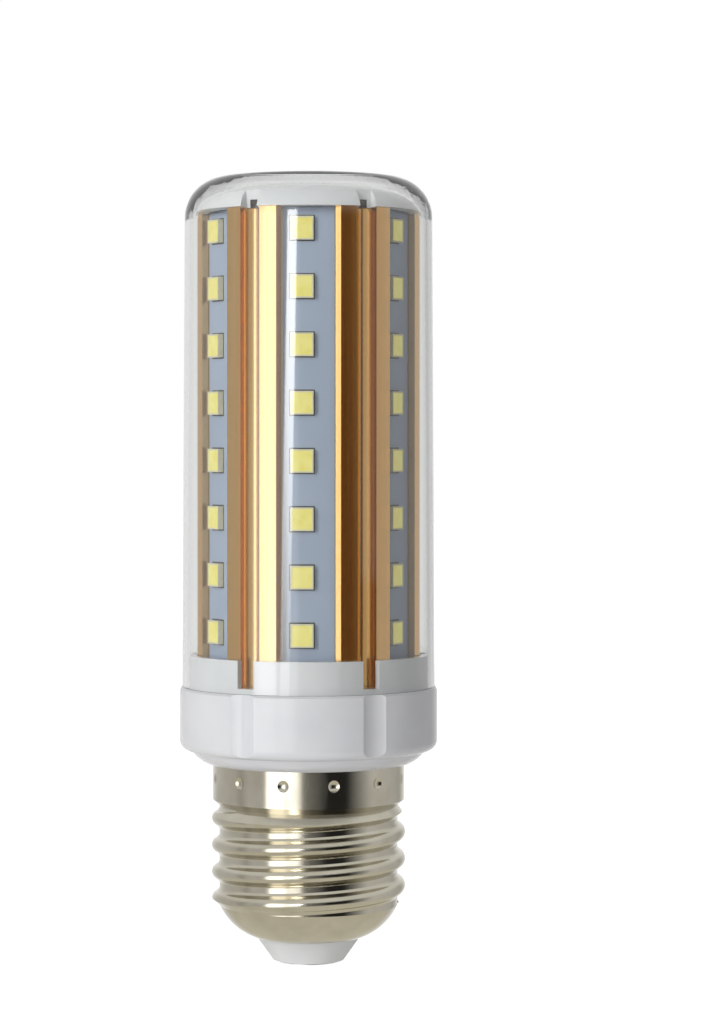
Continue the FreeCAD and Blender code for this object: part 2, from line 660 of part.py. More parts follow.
def add_legs(body, across, first, spacing, count, width, face):
    """Rows of flat legs out of both sides of a chip, lying on the driver board."""
    lift = DRIVER_FACE if face == "front" else f"0 - {DRIVER_FACE} - dim.leg_sheet"
    span = f"({width} + 2 * dim.leg_reach)"
    leg_pair = rectangle(span, f"{first} - dim.leg_sheet", f"{first} + dim.leg_sheet", shift=across)
    first_pair = extrude(body, "Pad", outline(body, "XZ_Plane", leg_pair, lift=lift), "dim.leg_sheet")
    pattern = body.newObject("PartDesign::LinearPattern", f"{body.Name}_legs")
    pattern.Originals = [first_pair]
    pattern.Direction = (own(body, "Z_Axis"), [""])
    pattern.setExpression("Length", f"{spacing} * {count - 1}")
    pattern.Occurrences = count
    body.Tip = pattern


# What stands on the back of the driver board
low = "(dim.driver_foot_height + dim.driver_margin)"
rectifier_across = f"(dim.rectifier_inset - {DRIVER_WIDTH} / 2)"
choke_across = f"(dim.choke_inset - {DRIVER_WIDTH} / 2)"
fuse_across = f"({DRIVER_WIDTH} / 2 - dim.fuse_inset)"
high = f"({DRIVER_TOP} - dim.driver_margin)"
film = block_on_driver("film_capacitor", "dim.film_capacitor_across", f"({high} - dim.film_capacitor_height)",
                       "dim.film_capacitor_width", "dim.film_capacitor_height",
                       "dim.film_capacitor_thickness", "back")
soften(film, "Chamfer", lambda edge: is_long(edge, "0"), "dim.film_capacitor_thickness / 9")
rectifier = block_on_driver("bridge_rectifier", rectifier_across, low, "dim.rectifier_width",
                            "dim.rectifier_height", "dim.rectifier_thickness", "back")
add_legs(rectifier, rectifier_across, f"({low} + dim.rectifier_height / 4)", "dim.rectifier_height / 2",
         2, "dim.rectifier_width", "back")
controller = block_on_driver("driver_controller", "dim.controller_across", low, "dim.controller_width",
                             "dim.controller_height", "dim.controller_thickness", "back")
add_legs(controller, "dim.controller_across", f"({low} + dim.controller_height / 8)",
         "dim.controller_height / 4", 4, "dim.controller_width", "back")
fuse_waist = "(0.8 * dim.fuse_radius)"
round_on_driver("fuse_resistor", fuse_across, "dim.fuse_radius", "back", [
    ("0", low),
    ("dim.fuse_radius", low),
    ("dim.fuse_radius", f"{low} + dim.fuse_length / 5"),
    (fuse_waist, f"{low} + dim.fuse_length / 4"),
    (fuse_waist, f"{low} + dim.fuse_length * 3 / 4"),
    ("dim.fuse_radius", f"{low} + dim.fuse_length * 4 / 5"),
    ("dim.fuse_radius", f"{low} + dim.fuse_length"),
    ("0", f"{low} + dim.fuse_length"),
])

# What stands on its front
can_foot = f"({high} - dim.smoothing_can_length)"
crimp = "(dim.smoothing_can_length / 8)"
round_on_driver("smoothing_capacitor", "dim.smoothing_can_across", "dim.smoothing_can_radius", "front", [
    ("0", can_foot),
    ("dim.smoothing_can_radius", can_foot),
    ("dim.smoothing_can_radius", f"{can_foot} + {crimp}"),
    (f"dim.smoothing_can_radius - {crimp} / 3", f"{can_foot} + {crimp} * 1.5"),
    ("dim.smoothing_can_radius", f"{can_foot} + {crimp} * 2"),
    ("dim.smoothing_can_radius", high),
    ("0", high),
])
choke_flange = "(dim.choke_height / 6)"
choke_waist = "(0.85 * dim.choke_radius)"
round_on_driver("choke", choke_across, "dim.choke_radius", "front", [
    ("0", low),
    ("dim.choke_radius", low),
    ("dim.choke_radius", f"{low} + {choke_flange}"),
    (choke_waist, f"{low} + {choke_flange}"),
    (choke_waist, f"{low} + dim.choke_height - {choke_flange}"),
    ("dim.choke_radius", f"{low} + dim.choke_height - {choke_flange}"),
    ("dim.choke_radius", f"{low} + dim.choke_height"),
    ("0", f"{low} + dim.choke_height"),
])

# Screws up through the deck into the column's channels
screws = new_body("column_screws")
head_foot = f"({DECK_UNDERSIDE} - dim.screw_head_height)"
head = extrude(screws, "Pad", ring(
    screws, "XY_Plane", (SCREW_CIRCLE, "0"), "dim.screw_head_radius", lift=head_foot),
    "dim.screw_head_height")
shank = extrude(screws, "Pad", ring(
    screws, "XY_Plane", (SCREW_CIRCLE, "0"), "dim.screw_radius", lift=DECK_UNDERSIDE),
    "dim.screw_length")
repeat_around(screws, [head, shank], SCREWS)


def wire(label, points):
    """An insulated wire: straight runs joined by arcs as large as the runs allow."""
    route = [FreeCAD.Vector(*(size(value) for value in point)) for point in points]
    edges = []
    here = route[0]
    for before, corner, after in zip(route, route[1:], route[2:]):
        back = before - corner
        onward = after - corner
        reach = 0.45 * min(back.Length, onward.Length)
        half_turn = (math.pi - back.getAngle(onward)) / 2
        bend = reach / math.tan(half_turn)
        back.normalize()
        onward.normalize()
        inward = (back + onward).normalize()
        first = corner + back * reach
        last = corner + onward * reach
        crown = corner + inward * (bend / math.cos(half_turn) - bend)
        edges.append(Part.LineSegment(here, first).toShape())
        edges.append(Part.Arc(first, crown, last).toShape())
        here = last
    edges.append(Part.LineSegment(here, route[-1]).toShape())
    path = Part.Wire(edges)
    section = Part.Wire(Part.makeCircle(size("dim.wire_radius"), route[0], route[1] - route[0]))
    feature = doc.addObject("Part::Feature", label)
    feature.Label = label
    feature.Shape = path.makePipeShell([section], True, True)
    return feature


# Wires: live to the contact, neutral to the shell, and two up the column to the link board
live_across = "dim.live_wire_across"
live_level = f"({low} + dim.driver_margin)"
wire("live_wire", [
    ("0", "0", "dim.contact_bevel + dim.contact_thickness"),
    ("0", "0", "dim.insulator_inner_height"),
    (live_across, "0 - dim.wire_stand_off", "dim.driver_foot_height + dim.driver_margin / 2"),
    (live_across, "0 - dim.wire_stand_off", live_level),
    (live_across, f"0 - {DRIVER_FACE}", live_level),
])
neutral_across = "dim.neutral_wire_across"
neutral_level = f"({live_level} + dim.driver_margin / 2)"
joint_level = f"({neutral_level} + dim.wire_stand_off)"
shell_touch = f"({shell_bore} - dim.fit_clearance / 2)"
joint_x = f"({shell_touch} * cos(dim.neutral_joint_angle))"
joint_y = f"({shell_touch} * sin(dim.neutral_joint_angle))"
wire("neutral_wire", [
    (neutral_across, f"0 - {DRIVER_FACE}", neutral_level),
    (neutral_across, "0 - dim.wire_stand_off", neutral_level),
    (f"0.75 * {joint_x}", f"0 - 0.75 * {joint_y}", joint_level),
    (joint_x, f"0 - {joint_y}", joint_level),
])
led_wire_level = f"({DRIVER_TOP} - 3 * dim.driver_margin)"
led_wire_end = f"({LINK_BOARD_BORE} + 2 * dim.wire_radius)"
for label, facing in (("led_wire_positive", "-"), ("led_wire_negative", "")):
    wire(label, [
        ("0 - dim.led_wire_across", f"{facing}{DRIVER_FACE}", led_wire_level),
        ("0 - dim.led_wire_across", f"{facing}dim.wire_stand_off", led_wire_level),
        ("0 - 2 * dim.wire_radius", f"{facing}dim.wire_hole_radius / 2",
         f"{DECK_UNDERSIDE} - dim.wire_radius"),
        ("0 - dim.wire_radius", f"{facing}dim.wire_hole_radius / 2", f"{DECK} + 4 * dim.driver_margin"),
        ("0", f"{facing}{led_wire_end}", f"{COLUMN_TOP} - 6 * dim.driver_margin"),
        ("0", f"{facing}{led_wire_end}", COLUMN_TOP),
    ])

doc.recompute()
for item in doc.Objects:
    if {"Invalid", "Error"} & set(item.State):
        raise RuntimeError(f"{item.Label} failed to build")
sub_parts = [item for item in doc.Objects if item.TypeId in ("PartDesign::Body", "Part::Feature")]
for item in sub_parts:
    if item.Shape.isNull() or not item.Shape.isValid() or not item.Shape.Solids:
        raise RuntimeError(f"{item.Label} has no valid solid")
for item in sub_parts:
    item.Shape.exportStep(f"parts/{item.Label}.step")
    print(item.Label, len(item.Shape.Solids), round(item.Shape.Volume, 2))
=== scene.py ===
# %% [markdown]
# # A corn LED bulb
# The lamp is a round column of gold anodised aluminium with six LED boards sunk in channels along it.
# A clear tube with a domed end covers it, a white housing closes its lower end, and an E27 screw cap
# feeds it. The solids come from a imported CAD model, and this lesson gives them their looks.
# Loading that model first means that every later piece can be put where the model says.

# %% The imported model
import json
import math

import bpy
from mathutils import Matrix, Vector


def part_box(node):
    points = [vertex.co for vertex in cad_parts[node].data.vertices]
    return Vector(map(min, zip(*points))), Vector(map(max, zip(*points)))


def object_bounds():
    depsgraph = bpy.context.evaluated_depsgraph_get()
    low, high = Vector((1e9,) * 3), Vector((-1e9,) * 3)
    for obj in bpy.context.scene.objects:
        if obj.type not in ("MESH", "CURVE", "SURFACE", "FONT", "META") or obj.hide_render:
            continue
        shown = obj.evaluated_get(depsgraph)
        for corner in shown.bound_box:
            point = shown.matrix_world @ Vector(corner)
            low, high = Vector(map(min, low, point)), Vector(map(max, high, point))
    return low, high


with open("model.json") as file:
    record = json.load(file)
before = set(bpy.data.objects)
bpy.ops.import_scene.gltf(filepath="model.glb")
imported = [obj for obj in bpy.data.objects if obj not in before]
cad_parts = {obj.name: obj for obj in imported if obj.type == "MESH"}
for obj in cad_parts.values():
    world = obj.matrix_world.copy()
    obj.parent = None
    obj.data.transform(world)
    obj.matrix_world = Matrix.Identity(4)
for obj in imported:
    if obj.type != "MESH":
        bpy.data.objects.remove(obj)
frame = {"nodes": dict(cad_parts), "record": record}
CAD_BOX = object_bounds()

print("nodes:", len(frame["nodes"]))

# %% [markdown]
# ## Units and colours
# Blender counts in metres and a lamp is measured in millimetres, so one name turns one into the other.
# Colours are picked as sRGB hex values, as in any drawing program, but a shader wants linear light.
# One function turns a hex value into linear numbers, so no colour is ever typed twice.

# %% Millimetres and colours
MM = 0.001


def linear(hex_colour):
    """An sRGB hex colour as linear red, green, blue and an alpha of one."""
    parts = [int(hex_colour[k:k + 2], 16) / 255 for k in (1, 3, 5)]
    light = [c / 12.92 if c <= 0.04045 else ((c + 0.055) / 1.055) ** 2.4 for c in parts]
    return (*light, 1.0)


print("mid grey in linear light:", round(linear("#808080")[0], 3))

# %% [markdown]
# ## Shader nodes
# A procedural material is a small graph. Adding a node by hand means choosing its type, typing its
# settings and dragging its wires. The function below does those three things in one line, so that
# each material further down reads like a recipe.

# %% One function that adds a node
def add_node(tree, kind, settings=None, **inputs):
    """Adds a node, sets its own settings, and gives each named input a value or a wire."""
    node = tree.nodes.new(kind)
    for name, value in (settings or {}).items():
        setattr(node, name, value)
    for name, value in inputs.items():
        socket = node.inputs[int(name[1:])] if name[0] == "_" else node.inputs[name.replace("_", " ")]
        if isinstance(value, bpy.types.NodeSocket):
            tree.links.new(value, socket)
        else:
            socket.default_value = value
    return node


def new_material(name):
    """An empty material with its output node, ready for a recipe."""
    material = bpy.data.materials.new(name)
    material.use_nodes = True
    material.node_tree.nodes.clear()
    output = material.node_tree.nodes.new("ShaderNodeOutputMaterial")
    return material, material.node_tree, output


def colour_ramp(tree, factor, low, high, start=0.35, end=0.65):
    """A ramp from one hex colour to another, between two values of its factor."""
    ramp = add_node(tree, "ShaderNodeValToRGB", Fac=factor)
    ramp.color_ramp.elements[0].position = start
    ramp.color_ramp.elements[0].color = linear(low)
    ramp.color_ramp.elements[1].position = end
    ramp.color_ramp.elements[1].color = linear(high)
    return ramp.outputs["Color"]


def noise_in_mm(tree, size_x, size_y, size_z, detail=3.0):
    """Noise whose blotches are about the given sizes in millimetres along X, Y and Z."""
    place = tree.nodes.new("ShaderNodeTexCoord").outputs["Object"]
    scale = (1 / (size_x * MM), 1 / (size_y * MM), 1 / (size_z * MM))
    spread = add_node(tree, "ShaderNodeMapping", Vector=place, Scale=scale)
    noise = add_node(tree, "ShaderNodeTexNoise", Vector=spread.outputs["Vector"],
                     Scale=1.0, Detail=detail)
    return noise.outputs["Fac"]


print("helpers for materials are ready")

# %% [markdown]
# ## Camera
# The photograph is 717 by 1024 pixels and was taken from about 420 mm away, level, with the horizon
# above the middle of the frame. A level camera keeps the lamp's sides upright, and a shift of the
# frame puts the lamp where the picture has it, as the moving back of a studio camera does. The camera
# stays straight in front of the lamp, so the front board faces it squarely.

# %% Camera
FRAME_WIDTH = 717
FRAME_HEIGHT = 1024
PIXELS_PER_MM = 7.35
HORIZON_ROW = 430
LAMP_MIDDLE_ROW = 568
LAMP_AXIS_COLUMN = 308.5
CAMERA_DISTANCE = 420 * MM
lamp_middle = (CAD_BOX[0][2] + CAD_BOX[1][2]) / 2
camera_height = lamp_middle + (LAMP_MIDDLE_ROW - HORIZON_ROW) / PIXELS_PER_MM * MM

camera_data = bpy.data.cameras.new("camera")
camera_data.sensor_width = 36.0
camera_data.lens = camera_data.sensor_width * CAMERA_DISTANCE / (FRAME_HEIGHT / PIXELS_PER_MM * MM)
camera_data.shift_x = (FRAME_WIDTH / 2 - LAMP_AXIS_COLUMN) / FRAME_HEIGHT
camera_data.shift_y = (HORIZON_ROW - FRAME_HEIGHT / 2) / FRAME_HEIGHT
camera_data.clip_start = 10 * MM
camera = bpy.data.objects.new("camera", camera_data)
camera.location = (0, -CAMERA_DISTANCE, camera_height)
camera.rotation_euler = (math.radians(90), 0, 0)
bpy.context.scene.collection.objects.link(camera)
bpy.context.scene.camera = camera
bpy.context.scene.view_settings.view_transform = "Standard"
print("lens", round(camera_data.lens, 1), "mm at height", round(camera_height / MM, 1), "mm")

# %% [markdown]
# ## Studio
# Metal and glass look like what they reflect, so the studio matters as much as the material.
# The camera sees plain white. Reflections see a grey room with white paper behind the lamp, a tall
# window to the left of the camera, and a black card to its right, which gives polished metal its
# dark core. The room is drawn from the direction of the ray, so it needs no walls of its own.
# It comes in two versions: one for what lies in the open air, and one for what lies inside the tube,
# where the card is brown, because there the gold walls pass their colour from one to the next.

# %% Direction of a ray
world = bpy.data.worlds.new("studio")
bpy.context.scene.world = world
world.use_nodes = True
sky = world.node_tree
sky.nodes.clear()


def sky_math(operation, first, second=0.0):
    """A mathematics node in the sky's graph."""
    return add_node(sky, "ShaderNodeMath", {"operation": operation}, _0=first, _1=second).outputs[0]


def sky_step(value, zero_at, one_at):
    """A smooth step that is zero at one value and one at another."""
    step = add_node(sky, "ShaderNodeMapRange", {"interpolation_type": "SMOOTHSTEP"},
                    Value=value, From_Min=zero_at, From_Max=one_at)
    return step.outputs["Result"]


direction = sky.nodes.new("ShaderNodeTexCoord").outputs["Generated"]
split = add_node(sky, "ShaderNodeSeparateXYZ", Vector=direction)
# The azimuth is 0 towards the camera, negative to its left. The slope is the ray's rise.
ahead = sky_math("MULTIPLY", split.outputs["Y"], -1.0)
azimuth = sky_math("DEGREES", sky_math("ARCTAN2", split.outputs["X"], ahead))
slope = split.outputs["Z"]
print("azimuth and slope are ready")

# %% The room's tones, by azimuth
OPEN_TONES = {
    -180: 1.00,
    -140: 0.60,
    -98: 0.55,
    -88: 0.40,
    -76: 0.58,
    -53: 0.48,
    -50: 2.60,
    -31: 2.60,
    -29: 1.50,
    -12: 1.50,
    -7: 0.25,
    14: 0.12,
    22: 0.02,
    47: 0.02,
    62: 0.25,
    82: 0.62,
    125: 0.55,
    140: 0.45,
    160: 0.80,
    180: 1.00,
}
TUBE_TONES = {
    -180: 1.00,
    -140: 0.75,
    -98: 0.60,
    -88: 0.50,
    -76: 0.58,
    -54: 0.60,
    -46: 2.60,
    -31: 2.60,
    -28: 0.80,
    -12: 0.80,
    -8: 0.60,
    27: 0.60,
    31: 0.09,
    47: 0.09,
    53: 0.60,
    82: 0.62,
    125: 0.52,
    140: 0.42,
    162: 0.66,
    180: 1.00,
}
BRIGHTEST = max(OPEN_TONES.values())
NEUTRAL = (1.0, 1.0, 1.0)
CARD_BROWN = (1.0, 0.36, 0.05)
CARD_EDGES = (31, 47)


def room_ramp(levels, card_colour):
    """A colour ramp round the circle, whose darkest tones to the right take the card's colour."""
    share = add_node(sky, "ShaderNodeMapRange", Value=azimuth, From_Min=-180.0, From_Max=180.0)
    ramp = add_node(sky, "ShaderNodeValToRGB", Fac=share.outputs["Result"])
    while len(ramp.color_ramp.elements) < len(levels):
        ramp.color_ramp.elements.new(0.5)
    for element, (degrees, level) in zip(ramp.color_ramp.elements, levels.items()):
        tone = level / BRIGHTEST
        on_card = CARD_EDGES[0] <= degrees <= CARD_EDGES[1]
        tint = card_colour if on_card else NEUTRAL
        element.position = (degrees + 180) / 360
        element.color = (tone * tint[0], tone * tint[1], tone * tint[2], 1.0)
    return ramp.outputs["Color"]


open_room = room_ramp(OPEN_TONES, NEUTRAL)
tube_room = room_ramp(TUBE_TONES, CARD_BROWN)
print("room tones:", len(OPEN_TONES), "and", len(TUBE_TONES))

# %% [markdown]
# A narrow lamp beside the camera draws the slanted white bar down the photographed tube. It is drawn
# into the room of the open air only, because the gold inside the tube shows no such bar.
# Two soft edges across and two along make it, and taking some of the slope from the azimuth slants it.

# %% A strip lamp that only the open air mirrors
STRIP_EDGES = (-22.5, -14.0)
STRIP_SOFTNESS = 1.2
STRIP_LEAN = 45.0
STRIP_STRENGTH = 11.0
STRIP_FOOT = (-0.12, 0.06)
STRIP_HEAD = (0.16, 0.11)
leaning = sky_math("SUBTRACT", azimuth, sky_math("MULTIPLY", slope, STRIP_LEAN))
strip_left = sky_step(leaning, STRIP_EDGES[0] - STRIP_SOFTNESS, STRIP_EDGES[0] + STRIP_SOFTNESS)
strip_right = sky_step(leaning, STRIP_EDGES[1] + STRIP_SOFTNESS, STRIP_EDGES[1] - STRIP_SOFTNESS)
strip_foot = sky_step(slope, *STRIP_FOOT)
strip_head = sky_step(slope, *STRIP_HEAD)
strip_width = sky_math("MULTIPLY", strip_left, strip_right)
strip_height = sky_math("MULTIPLY", strip_foot, strip_head)
strip = sky_math("MULTIPLY", sky_math("MULTIPLY", strip_width, strip_height), STRIP_STRENGTH)
print("the strip spans", STRIP_EDGES, "degrees")

# %% [markdown]
# A world may look different to each kind of ray, and the Light Path node tells them apart. The
# camera gets white paper, mirrors get one of the two rooms with a ceiling and a table, and matt
# surfaces get an even light, so that they keep their own colour.

# %% What each kind of ray sees
CEILING = linear("#dedfde")
CEILING_SLOPES = (0.2, 0.5)
TABLE = linear("#d0cdc1")
TABLE_SLOPES = (-0.3, -0.55)
rays = sky.nodes.new("ShaderNodeLightPath")


def sky_mix(share, first, second):
    """A mix of two lights or shaders."""
    return add_node(sky, "ShaderNodeMixShader", _0=share, _1=first, _2=second).outputs[0]


def sky_light(colour, strength):
    """A background light."""
    return add_node(sky, "ShaderNodeBackground", Color=colour, Strength=strength).outputs[0]


open_light = add_node(sky, "ShaderNodeAddShader", _0=sky_light(open_room, BRIGHTEST),
                      _1=sky_light(linear("#ffffff"), strip)).outputs[0]
# The card has a second, lower part, which ends the pale streaks in the right-hand groove half-way down.
LOW_CARD_LEFT = (40, 46)
LOW_CARD_RIGHT = (70, 64)
LOW_CARD_TOP = (-0.034, -0.042)
LOW_CARD_LEVEL = 0.10
low_card_width = sky_math("MULTIPLY", sky_step(azimuth, *LOW_CARD_LEFT), sky_step(azimuth, *LOW_CARD_RIGHT))
low_card = sky_math("MULTIPLY", low_card_width, sky_step(slope, *LOW_CARD_TOP))
low_card_light = sky_light((*CARD_BROWN, 1.0), LOW_CARD_LEVEL)
tube_light = sky_mix(low_card, sky_light(tube_room, BRIGHTEST), low_card_light)
walls = sky_mix(rays.outputs["Is Transmission Ray"], open_light, tube_light)
with_ceiling = sky_mix(sky_step(slope, *CEILING_SLOPES), walls, sky_light(CEILING, 1.0))
with_table = sky_mix(sky_step(slope, *TABLE_SLOPES), with_ceiling, sky_light(TABLE, 1.0))
# The even light is stronger inside the tube, whose wall keeps some of it off, and most on the window's side.
AMBIENT = 0.18
AMBIENT_IN_TUBE = 0.23
WINDOW_IN_TUBE = 0.56
WINDOW_LEFT = (-110, -70)
WINDOW_RIGHT = (20, -20)
window_side = sky_math("MULTIPLY", sky_step(azimuth, *WINDOW_LEFT), sky_step(azimuth, *WINDOW_RIGHT))
extra_in_tube = sky_math("ADD", sky_math("MULTIPLY", window_side, WINDOW_IN_TUBE), AMBIENT_IN_TUBE)
extra = sky_math("MULTIPLY", rays.outputs["Is Transmission Ray"], extra_in_tube)
ambient_level = sky_math("ADD", extra, AMBIENT)
ambient = sky_light(linear("#ffffff"), ambient_level)
# A ray that has left a matt surface carries its light, even when it goes out through the tube.
mirrored = sky_math("MAXIMUM", rays.outputs["Is Glossy Ray"], rays.outputs["Is Transmission Ray"])
from_mirror = sky_math("MULTIPLY", mirrored, sky_math("LESS_THAN", rays.outputs["Diffuse Depth"], 0.5))
for_others = sky_mix(from_mirror, ambient, with_table)
for_camera = sky_mix(rays.outputs["Is Camera Ray"], for_others, sky_light(linear("#ffffff"), 1.0))
surface = sky.nodes.new("ShaderNodeOutputWorld")
sky.links.new(for_camera, surface.inputs["Surface"])
print("the camera sees white, and reflections see the room")

# %% [markdown]
# ## Lamps
# A large softbox to the left of the camera shades the white plastic from left to right, and a weak
# one overhead lifts the dome's cap. Their reflections would lie on the gold as plain white bands,
# so neither mirrors nor the glass see them: the drawn room does that work.


# %% Two softboxes
def softbox(name, place, width, height, watts, target=(0.0, 0.0, 60 * MM)):
    """A rectangular lamp that faces the target."""
    light = bpy.data.lights.new(name, "AREA")
    light.shape = "RECTANGLE"
    light.size = width
    light.size_y = height
    light.energy = watts
    holder = bpy.data.objects.new(name, light)
    holder.location = place
    holder.rotation_euler = (Vector(target) - Vector(place)).to_track_quat("-Z", "Y").to_euler()
    holder.visible_glossy = False
    holder.visible_transmission = False
    bpy.context.scene.collection.objects.link(holder)


softbox("key", place=(-0.45, -0.58, 0.22), width=0.25, height=0.5, watts=3.0)
softbox("top", place=(0.0, -0.1, 0.7), width=0.5, height=0.5, watts=0.12)

# %% [markdown]
# ## Floor
# The floor is a pale sheet that the lamp stands on by its centre contact. To the camera it glows, so
# that it reads as white paper, and the rest of its light is reflected, so that it keeps the lamp's
# soft shadow. For matt surfaces it glows less, and that lifts the undersides of the lamp. Reflections
# and the glass don't see it, because the room of the reflections brings a table of its own.

# %% Floor
FLOOR_SIZE = 4.0
bpy.ops.object.select_all(action="DESELECT")
bpy.ops.mesh.primitive_plane_add(size=FLOOR_SIZE, location=(0, 0, CAD_BOX[0][2]))
floor = bpy.context.object
floor.name = "floor"
paper, paper_tree, paper_out = new_material("studio_paper")
GLOW_FOR_CAMERA = 0.95
GLOW_FOR_OTHERS = 0.25
paper_rays = paper_tree.nodes.new("ShaderNodeLightPath")
glow_level = add_node(paper_tree, "ShaderNodeMapRange", Value=paper_rays.outputs["Is Camera Ray"],
                      To_Min=GLOW_FOR_OTHERS, To_Max=GLOW_FOR_CAMERA)
glow = add_node(paper_tree, "ShaderNodeEmission", Color=linear("#ffffff"),
                Strength=glow_level.outputs["Result"])
matt = add_node(paper_tree, "ShaderNodeBsdfDiffuse", Color=linear("#e8e8e8"))
paper_mix = add_node(paper_tree, "ShaderNodeAddShader", _0=glow.outputs[0], _1=matt.outputs[0])
paper_tree.links.new(paper_mix.outputs[0], paper_out.inputs["Surface"])
floor.data.materials.append(paper)
floor.visible_glossy = False
floor.visible_transmission = False
print("floor at", round(floor.location.z / MM, 2), "mm")

# %% [markdown]
# ## Clear tube
# The cover is extruded polycarbonate with a moulded dome: glass-clear, glossy, and with an IOR of
# about 1.585. A Principled shader with full transmission bends the light as the real wall does, so
# the double lines along the tube's edges come by themselves. Light from lamps would be stopped by
# such a wall, so rays that look for a lamp pass through a Transparent shader instead.

# %% Clear polycarbonate
clear, tree, out = new_material("clear_polycarbonate")
flow = noise_in_mm(tree, 30, 30, 60, detail=1.0)
ripple = add_node(tree, "ShaderNodeBump", Height=flow, Strength=0.02, Distance=0.2 * MM)
wall = add_node(tree, "ShaderNodeBsdfPrincipled", Normal=ripple.outputs["Normal"],
                Base_Color=linear("#fbfcfb"), Roughness=0.015, IOR=1.585, Transmission_Weight=1.0)
let_through = add_node(tree, "ShaderNodeBsdfTransparent", Color=linear("#fbfcfb"))
ray = tree.nodes.new("ShaderNodeLightPath")
cover = add_node(tree, "ShaderNodeMixShader", _0=ray.outputs["Is Shadow Ray"],
                 _1=wall.outputs[0], _2=let_through.outputs[0])
tree.links.new(cover.outputs[0], out.inputs["Surface"])
print("made", clear.name)

# %% [markdown]
# ## White plastic
# The housing and the top cap are injection moulded from white polycarbonate. Such plastic lets a
# little light in, which softens its shadows, and its mould was finished fine, so it has a soft
# gloss with a faint grain. The grain is about 0.3 mm, drawn a little coarser than life.

# %% White moulded plastic
white_plastic, tree, out = new_material("white_moulded_plastic")
cloud = noise_in_mm(tree, 9, 9, 9)
grain = noise_in_mm(tree, 0.3, 0.3, 0.3, detail=2.0)
tint = colour_ramp(tree, cloud, "#eeeff2", "#f5f6f8")
skin = add_node(tree, "ShaderNodeBump", Height=grain, Strength=0.12, Distance=0.02 * MM)
gloss = add_node(tree, "ShaderNodeMapRange", Value=cloud, To_Min=0.1, To_Max=0.16)
plastic = add_node(tree, "ShaderNodeBsdfPrincipled", Base_Color=tint, Normal=skin.outputs["Normal"],
                   Roughness=gloss.outputs["Result"], IOR=1.5, Subsurface_Weight=0.06,
                   Subsurface_Radius=(1.0 * MM, 1.0 * MM, 0.9 * MM), Subsurface_Scale=1.0)
tree.links.new(plastic.outputs[0], out.inputs["Surface"])
print("made", white_plastic.name)

# %% [markdown]
# ## Gold anodised aluminium
# The column is one long extrusion. The die leaves fine straight lines along it, which blur its
# reflections sideways, and the gold dye took a shade deeper in some lines than in others.
# Noise that is stretched far along Z and squeezed across it gives both the lines and the shades.
# The dye sits in a clear oxide layer, which adds a pale gloss of its own: that is the coat.

# %% Gold anodised aluminium
gold, tree, out = new_material("gold_anodised_aluminium")
die_lines = noise_in_mm(tree, 0.25, 0.25, 60, detail=4.0)
dye_bands = noise_in_mm(tree, 2.2, 2.2, 90, detail=2.0)
dye = colour_ramp(tree, dye_bands, "#dea552", "#eabd78", start=0.3, end=0.7)
scratch = add_node(tree, "ShaderNodeBump", Height=die_lines, Strength=0.35, Distance=0.03 * MM)
blur = add_node(tree, "ShaderNodeMapRange", Value=die_lines, To_Min=0.16, To_Max=0.3)
metal = add_node(tree, "ShaderNodeBsdfPrincipled", Base_Color=dye, Normal=scratch.outputs["Normal"],
                 Roughness=blur.outputs["Result"], Metallic=1.0, Coat_Weight=1.0, Coat_IOR=1.65,
                 Coat_Roughness=0.12)
tree.links.new(metal.outputs[0], out.inputs["Surface"])
print("made", gold.name)

# %% [markdown]
# ## Boards
# An LED board is a thin aluminium plate under glass cloth and a white solder mask. The mask is a
# matt white paint, coloured here a cool blue-grey that is painted shade and a painted cool reflection
# on the white, and the weave below it shows as a faint pattern about 0.5 mm wide.
# Round each LED the mask is open, and a dark line there stands for the solder and is partly a painted
# shadow at the package's edge. All six boards share one material, so the pattern first turns a place
# on any board into two distances: one sideways from the line of LEDs, which runs a little beside the
# board's middle, one upwards from the nearest LED.

# %% Distances on a board
PACKAGE_HEIGHT = 3.1 * MM
LEDS_ON_A_BOARD = 8
row_low, row_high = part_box("led_row_1")
row_left, row_right = row_low[0], row_high[0]
row_foot, row_head = row_low[2], row_high[2]
PACKAGE_WIDTH = row_right - row_left
ROW_MIDDLE = (row_left + row_right) / 2
LED_PITCH = (row_head - row_foot - PACKAGE_HEIGHT) / (LEDS_ON_A_BOARD - 1)
FIRST_LED = row_foot + PACKAGE_HEIGHT / 2
mask, tree, out = new_material("white_solder_mask")


def mask_math(operation, first, second=0.0, third=0.0):
    """A mathematics node in the solder mask's graph."""
    node = add_node(tree, "ShaderNodeMath", {"operation": operation}, _0=first, _1=second, _2=third)
    return node.outputs[0]


coordinates = tree.nodes.new("ShaderNodeTexCoord")
place = add_node(tree, "ShaderNodeSeparateXYZ", Vector=coordinates.outputs["Object"])
place_x, place_y, place_z = (place.outputs[axis] for axis in "XYZ")
from_axis = mask_math("SQRT", mask_math("ADD", mask_math("MULTIPLY", place_x, place_x),
                                        mask_math("MULTIPLY", place_y, place_y)))
turn = mask_math("ARCTAN2", place_x, mask_math("MULTIPLY", place_y, -1.0))
turn_on_board = mask_math("WRAP", turn, math.pi / 6, -math.pi / 6)
across = mask_math("MULTIPLY", from_axis, mask_math("SINE", turn_on_board))
sideways = mask_math("ABSOLUTE", mask_math("SUBTRACT", across, ROW_MIDDLE))
upwards = mask_math("ABSOLUTE", mask_math("WRAP", mask_math("SUBTRACT", place_z, FIRST_LED),
                                          LED_PITCH / 2, -LED_PITCH / 2))
print("LEDs every", round(LED_PITCH / MM, 2), "mm")

# %% White solder mask
SOLDER_AND_SHADE_LINE = 0.26 * MM
SOLDER_AND_SHADE_CORE = 0.1 * MM


